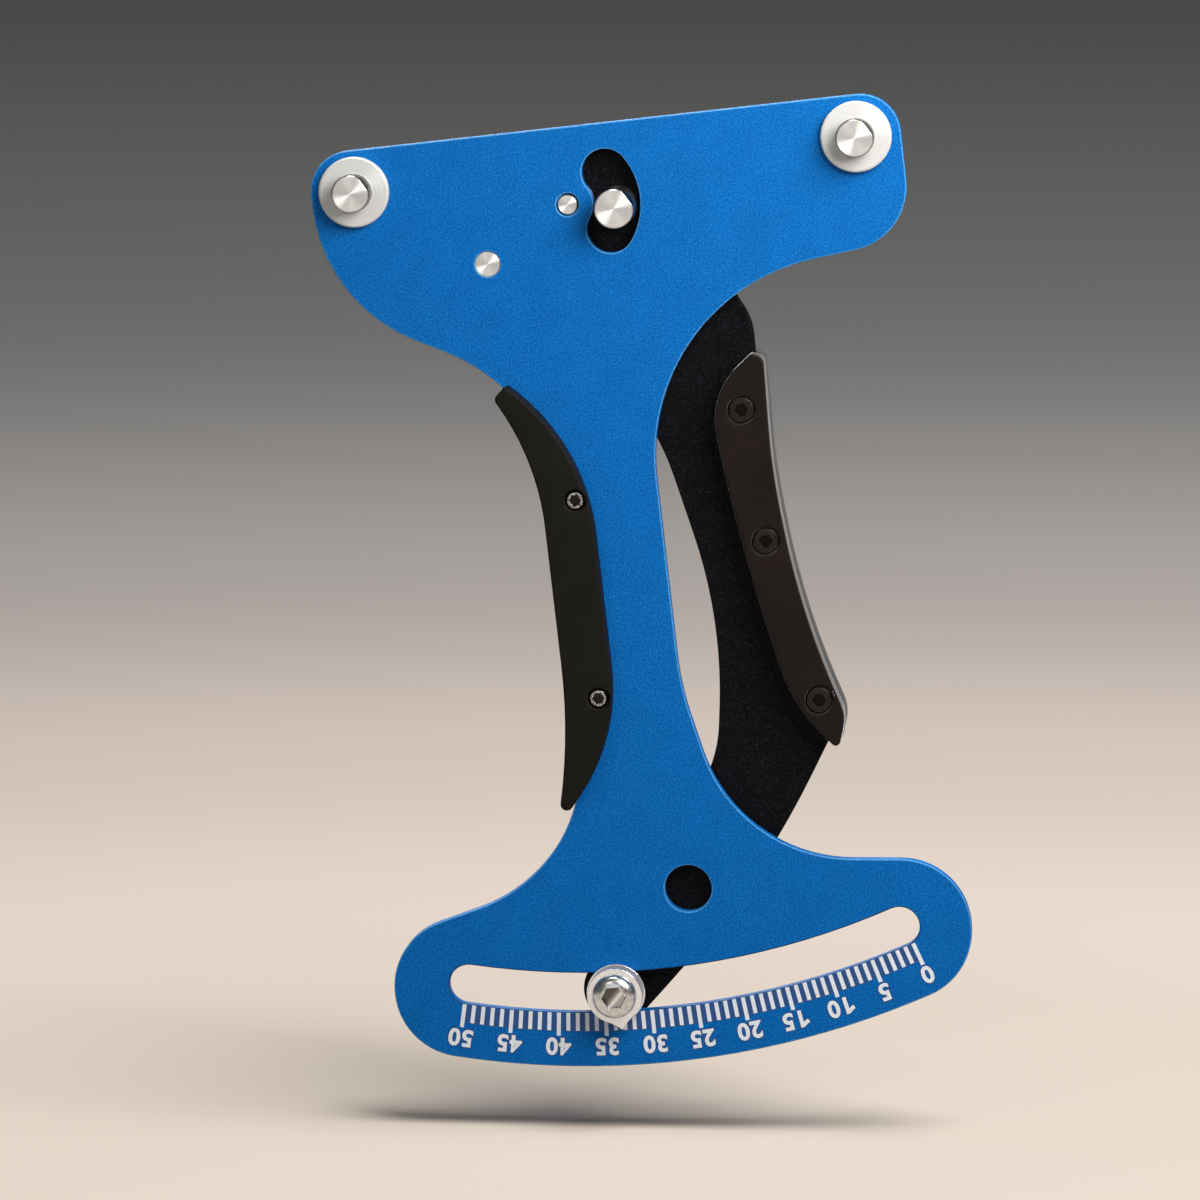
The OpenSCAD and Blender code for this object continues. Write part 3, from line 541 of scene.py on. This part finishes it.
def make_floor():
    """A pale floor with painted light and shade: its colour changes with distance from the object,
    so that under the ground lamp it darkens away.
    """
    finish = Finish("floor", srgb(240, 230, 218), 0.8, Specular_IOR_Level=0.1)
    length = finish.node("ShaderNodeVectorMath")
    length.operation = "LENGTH"
    finish.link(finish.place, length.inputs[0])
    share = finish.math("DIVIDE", length.outputs["Value"], FLOOR_FADE_NEAR)
    away = finish.math("LOGARITHM", share, FLOOR_FADE_FAR / FLOOR_FADE_NEAR)
    # Painted light and shade: the floor's colour dips to a darker band and lightens again far off,
    # making up for the ground lamp's falloff
    finish.colour(finish.ramp(
        away,
        (0.0, srgb(226, 215, 204)),
        (0.12, srgb(226, 215, 204)),
        (0.25, srgb(232, 221, 211)),
        (0.39, srgb(222, 210, 202)),
        (0.52, srgb(194, 188, 186)),
        (0.67, srgb(166, 167, 168)),
        (0.93, srgb(214, 215, 212)),
        ease="EASE",
    ))
    mesh = bpy.data.meshes.new("floor")
    corners = [(-1, -1), (1, -1), (1, 1), (-1, 1)]
    mesh.from_pydata([(x * FLOOR_HALF, y * FLOOR_HALF, 0) for x, y in corners], [], [(0, 1, 2, 3)])
    mesh.materials.append(finish.material)
    floor = bpy.data.objects.new("floor", mesh)
    right, up, back = view_axes()
    plumb = up * math.cos(CAMERA_RISE) + back * math.sin(CAMERA_RISE)
    pose = Matrix((right, plumb.cross(right), plumb)).transposed().to_4x4()
    pose.translation = CAMERA_TARGET - plumb * FLOOR_DROP
    floor.matrix_world = pose
    floor.visible_diffuse = False
    bpy.context.scene.collection.objects.link(floor)
    return floor


def lit_pieces(name, floor, state):
    """A collection that tells a lamp to light the floor alone, or all but the floor."""
    lit = bpy.data.collections.new(name)
    lit.objects.link(floor)
    lit.collection_objects[0].light_linking.link_state = state
    return lit


def add_lamp(lit, name, place, size, power, colour):
    """A soft square lamp that faces the object and lights one collection."""
    lamp = bpy.data.lights.new(name, "AREA")
    lamp.shape = "SQUARE"
    lamp.size = size
    lamp.energy = power
    lamp.color = colour
    stand = bpy.data.objects.new(name, lamp)
    stand.location = place
    stand.rotation_euler = (CAMERA_TARGET - Vector(place)).to_track_quat("-Z", "Y").to_euler()
    stand.visible_camera = False
    stand.light_linking.receiver_collection = lit
    bpy.context.scene.collection.objects.link(stand)


def make_light(floor):
    """Studio light: a key from the right, soft fill, and a lamp for the floor and its shadow."""
    world = bpy.data.worlds.new("studio")
    world.use_nodes = True
    tree = world.node_tree
    place = tree.nodes.new("ShaderNodeTexCoord")
    parts = tree.nodes.new("ShaderNodeSeparateXYZ")
    fade = tree.nodes.new("ShaderNodeMapRange")
    fade.interpolation_type = "SMOOTHSTEP"
    fade.inputs["From Min"].default_value = WORLD_FADE
    fade.inputs["From Max"].default_value = -WORLD_FADE
    fade.inputs["To Min"].default_value = WORLD_BACK
    fade.inputs["To Max"].default_value = WORLD_FRONT
    ambient = tree.nodes["Background"]
    ambient.inputs["Color"].default_value = WORLD_COLOUR
    tree.links.new(place.outputs["Generated"], parts.inputs[0])
    tree.links.new(parts.outputs["Y"], fade.inputs["Value"])
    tree.links.new(fade.outputs["Result"], ambient.inputs["Strength"])
    bpy.context.scene.world = world
    thing = lit_pieces("light_object", floor, "EXCLUDE")
    ground = lit_pieces("light_floor", floor, "INCLUDE")
    for lamp in LAMPS:
        add_lamp(thing, *lamp)
    add_lamp(ground, *FLOOR_LAMP)


def swing(step):
    """Angle of a scale mark from straight down, about the lever's pivot."""
    return SCALE_FIRST + SCALE_STEP * step + SCALE_SQUEEZE * step * step


def on_scale(radius, angle, depth):
    """A point of the scale at a radius and an angle from straight down about the pivot."""
    return Vector((pivot.x + radius * math.sin(angle), depth, pivot.z - radius * math.cos(angle)))


def add_block(vertices, faces, corners, near, far):
    """A closed thin block from four corners of (x, z), between two depths."""
    base = len(vertices)
    vertices.extend((x, near, z) for x, z in corners)
    vertices.extend((x, far, z) for x, z in corners)
    faces.append(tuple(base + i for i in range(4)))
    faces.append(tuple(base + 7 - i for i in range(4)))
    for i in range(4):
        j = (i + 1) % 4
        faces.append((base + j, base + i, base + 4 + i, base + 4 + j))


def make_ticks():
    """The scale's marks, longer at each number."""
    vertices, faces = [], []
    for step in range(SCALE_STEPS + 1):
        angle = swing(step)
        length = TICK_SHORT if step % SCALE_LABEL_EVERY else TICK_LONG
        side = Vector((math.cos(angle), math.sin(angle))) * TICK_W / 2
        inner = on_scale(TICK_R, angle, 0).xz
        outer = on_scale(TICK_R + length, angle, 0).xz
        corners = [inner - side, outer - side, outer + side, inner + side]
        add_block(vertices, faces, corners, -INK_T, INK_SINK)
    new_piece("scale_ticks", vertices, faces, white_ink, "body")


def make_band():
    """The darker strip behind the ticks."""
    vertices, faces = [], []
    margin = TICK_W / 2 / TICK_R
    for step in range(SCALE_STEPS):
        low = swing(step) - (margin if step == 0 else 0)
        high = swing(step + 1) + (margin if step == SCALE_STEPS - 1 else 0)
        corners = [
            on_scale(TICK_R, low, 0).xz,
            on_scale(BAND_R, low, 0).xz,
            on_scale(BAND_R, high, 0).xz,
            on_scale(TICK_R, high, 0).xz,
        ]
        add_block(vertices, faces, corners, -HALO_T, INK_SINK)
    new_piece("scale_band", vertices, faces, band_ink, "body")


def label_mesh(text, bold, thickness):
    """A number as a closed mesh in font units."""
    curve = bpy.data.curves.new("label", "FONT")
    curve.body = text
    curve.size = 1.0
    curve.offset = bold
    curve.extrude = thickness / 2
    curve.resolution_u = LABEL_SMOOTH
    curve.space_character = LABEL_SPACING
    holder = bpy.data.objects.new("label", curve)
    bpy.context.scene.collection.objects.link(holder)
    depsgraph = bpy.context.evaluated_depsgraph_get()
    mesh = bpy.data.meshes.new_from_object(holder.evaluated_get(depsgraph))
    bpy.data.objects.remove(holder)
    bpy.data.curves.remove(curve)
    joined = bmesh.new()
    joined.from_mesh(mesh)
    bmesh.ops.remove_doubles(joined, verts=joined.verts, dist=LABEL_JOIN)
    bmesh.ops.recalc_face_normals(joined, faces=joined.faces)
    joined.to_mesh(mesh)
    joined.free()
    return mesh


def grown(corners, margin):
    """An outline that runs anticlockwise, moved outwards by a margin."""
    corners = [Vector(corner) for corner in corners]
    made = []
    for i, corner in enumerate(corners):
        before = (corner - corners[i - 1]).normalized()
        after = (corners[(i + 1) % len(corners)] - corner).normalized()
        lean = Vector((before.y + after.y, -before.x - after.x))
        made.append(corner + lean * (2 * margin / lean.length_squared))
    return made


def flag_ones(text, points, loops, bold, thickness):
    """Puts a flagged figure one in place of the bare bar at the start of a number."""
    if not text.startswith("1"):
        return points, loops
    kept = [i for i, point in enumerate(points) if point.x > ONE_END]
    order = {old: new for new, old in enumerate(kept)}
    loops = [tuple(order[i] for i in loop) for loop in loops if loop[0] in order]
    points = [points[i] for i in kept]
    base = len(points)
    one = grown(ONE_OUTLINE, bold)
    count = len(one)
    for height in (thickness / 2, -thickness / 2):
        points += [Vector((x, y, height)) for x, y in one]
    loops.append(tuple(base + i for i in range(count)))
    loops.append(tuple(base + 2 * count - 1 - i for i in range(count)))
    for i in range(count):
        j = (i + 1) % count
        loops.append((base + j, base + i, base + count + i, base + count + j))
    return points, loops


def make_labels(name, material, bold, height):
    """All the scale's numbers, read with the fan away from the reader."""
    vertices, faces = [], []
    digit = label_mesh("0", bold, 0.0)
    digit_h = max(v.co.y for v in digit.vertices) - min(v.co.y for v in digit.vertices)
    plain_h = digit_h - 2 * bold
    size = LABEL_H / (plain_h + 2 * LABEL_BOLD)
    thickness = (height + INK_SINK) / size
    for step in range(0, SCALE_STEPS + 1, SCALE_LABEL_EVERY):
        text = str(SCALE_STEPS - step)
        mesh = label_mesh(text, bold, thickness)
        points = [v.co.copy() for v in mesh.vertices]
        loops = [tuple(p.vertices) for p in mesh.polygons]
        points, loops = flag_ones(text, points, loops, bold, thickness)
        xs = [point.x for point in points]
        ys = [point.y for point in points]
        middle = Vector(((min(xs) + max(xs)) / 2, (min(ys) + max(ys)) / 2, 0))
        angle = swing(step)
        along = Vector((-math.cos(angle), 0, -math.sin(angle)))
        up = Vector((math.sin(angle), 0, -math.cos(angle)))
        face = Vector((0, -1, 0))
        turn = Matrix((along, up, face)).transposed()
        spot = on_scale(LABEL_R, angle, (INK_SINK - height) / 2)
        base = len(vertices)
        vertices.extend(tuple(spot + turn @ ((point - middle) * size)) for point in points)
        faces.extend(tuple(base + i for i in loop) for loop in loops)
        bpy.data.meshes.remove(mesh)
    bpy.data.meshes.remove(digit)
    new_piece(name, vertices, faces, material, "body")


def make_spring():
    """A drawn-wire spring with a hook round each pin; its coils stretch between body and lever."""
    anchor = centre("spring_anchor_pin")
    pin = centre("lever_spring_pin")
    depth = centre("gauge_spring").y
    start = Vector((anchor.x, depth, anchor.z))
    span = Vector((pin.x, depth, pin.z)) - start
    length = span.length
    along = span.normalized()
    across = Vector((-along.z, 0, along.x))
    behind = Vector((0, 1, 0))
    coil_r = (COIL_D - WIRE_D) / 2
    coil_l = length - 2 * HOOK_RUN

    def hook(middle, way):
        """Points of (along, across, deep) round a pin."""
        angles = [HOOK_WRAP / 2 - HOOK_WRAP * i / HOOK_STEPS for i in range(HOOK_STEPS + 1)]
        return [
            (middle - way * HOOK_R * math.cos(a), way * HOOK_R * math.sin(a), 0) for a in angles
        ]

    turns = COILS * COIL_STEPS
    coil = [
        (
            HOOK_RUN + coil_l * i / turns,
            -coil_r * math.cos(2 * math.pi * i / COIL_STEPS),
            coil_r * math.sin(2 * math.pi * i / COIL_STEPS),
        )
        for i in range(turns + 1)
    ]
    path = hook(0, 1) + coil + hook(length, -1)
    curve = bpy.data.curves.new("gauge_spring_wire", "CURVE")
    curve.dimensions = "3D"
    curve.bevel_depth = WIRE_D / 2
    curve.bevel_resolution = WIRE_SIDES
    curve.use_fill_caps = True
    curve.resolution_u = WIRE_SMOOTH
    wire = curve.splines.new("BEZIER")
    wire.bezier_points.add(len(path) - 1)
    for point, (run, side, deep) in zip(wire.bezier_points, path):
        point.co = start + along * run + across * side + behind * deep
        point.handle_left_type = "AUTO"
        point.handle_right_type = "AUTO"
    holder = bpy.data.objects.new("wire", curve)
    bpy.context.scene.collection.objects.link(holder)
    depsgraph = bpy.context.evaluated_depsgraph_get()
    mesh = bpy.data.meshes.new_from_object(holder.evaluated_get(depsgraph))
    bpy.data.objects.remove(holder)
    bpy.data.curves.remove(curve)
    mesh.materials.append(spring_wire)
    mesh.shade_smooth()
    spring = bpy.data.objects.new("gauge_spring_wire", mesh)
    bpy.context.scene.collection.objects.link(spring)
    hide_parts("gauge_spring")
    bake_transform(spring)


bpy.context.scene.view_settings.view_transform = "Standard"
make_camera()
make_light(make_floor())

pivot = centre("pivot_pin")
blue = blue_coat("blue_coat", srgb(8, 108, 187), srgb(2, 84, 164), srgb(30, 134, 212))
# Lighter blue on the plate's rounded edges as a painted highlight, and darker blue at the arc
# slot's rim as painted shade
blue_edge_highlight_and_shade = blue_coat(
    "blue_edge_highlight_and_shade",
    srgb(74, 150, 214),
    srgb(56, 134, 200),
    srgb(104, 174, 230),
    slot_rim_shade=srgb(26, 74, 128),
)
black = black_coat()
body_grip = grip_plastic("body_grip", srgb(24, 23, 20), srgb(31, 29, 25), 0.0)
lever_grip = grip_plastic("lever_grip", srgb(31, 25, 23), srgb(38, 29, 27), 0.34)
lever_front = grip_plastic("lever_front", srgb(28, 22, 20), srgb(35, 27, 25), 0.75)
plated = metal("plated_steel", srgb(226, 225, 222), 0.2, 0.3 * MM)
white_plate = metal("white_plate", srgb(240, 241, 243), 0.2, 0.3 * MM, spread=0.02, shine=0.82)
black_steel = metal("black_steel", srgb(52, 50, 50), 0.4, 0.3 * MM)
spring_wire = metal("spring_wire", srgb(196, 195, 192), 0.28, 0.4 * MM)
bronze = metal("bronze", srgb(188, 148, 98), 0.35, 0.3 * MM)
slip = plain_plastic()
white_ink = ink("white_ink", srgb(250, 252, 255), srgb(236, 241, 247))
band_ink = ink("band_ink", srgb(26, 80, 142), srgb(20, 68, 128))
halo_ink = ink("halo_ink", srgb(8, 64, 130), srgb(4, 56, 118))

# The body plate's rounded edges take the painted edge highlight and the painted slot shade
dress("body_plate", blue, PLATE_EDGE, blue_edge_highlight_and_shade)
dress("lever_plate", black, PLATE_EDGE)
for name in ("body_grip_front", "body_grip_back"):
    dress(name, body_grip, GRIP_EDGE)
for name, finish in (("lever_grip_front", lever_front), ("lever_grip_back", lever_grip)):
    dress(name, finish, GRIP_EDGE)
for name in ("left_post", "right_post"):
    dress(name, turned_metal("turned_" + name, centre(name), front(name), FLANGED_SIDE), METAL_EDGE)
for name in ("moving_post", "pivot_pin", "spring_anchor_pin", "lever_spring_pin"):
    dress(name, turned_metal("turned_" + name, centre(name), front(name), PLAIN_SIDE), METAL_EDGE)
# Screw faces: dull and bright patches, the bright ones partly painted glints; the last colour is
# painted shade in sockets and on head sides
for name, dull, bright, deep in (
    ("body_grip_screws", srgb(74, 73, 71), srgb(196, 195, 192), srgb(38, 37, 36)),
    ("lever_grip_screws", srgb(44, 39, 36), srgb(54, 48, 45), srgb(26, 23, 21)),
):
    dress(name, shade_and_glint_screw("shade_and_glint_" + name, front(name), dull, bright, deep), FINE_EDGE)
for name in ("body_grip_nuts", "lever_grip_nuts"):
    dress(name, plated, FINE_EDGE)
for name in ("pointer", "pointer_washer"):
    dress(name, white_plate, METAL_EDGE)
for name in ("pointer_spacer", "pointer_nut", "pivot_washer"):
    dress(name, plated, METAL_EDGE)
dress("pointer_screw", socket_screw(centre("pointer_screw"), front("pointer_screw")), METAL_EDGE)
dress("pivot_clip", black_steel, FINE_EDGE)
dress("lever_bush", bronze, FINE_EDGE)
dress("pivot_spacer", slip, FINE_EDGE)

make_band()
make_ticks()
make_labels("scale_number_halo", halo_ink, HALO_BOLD, HALO_T)
make_labels("scale_numbers", white_ink, LABEL_BOLD, INK_T)
make_spring()
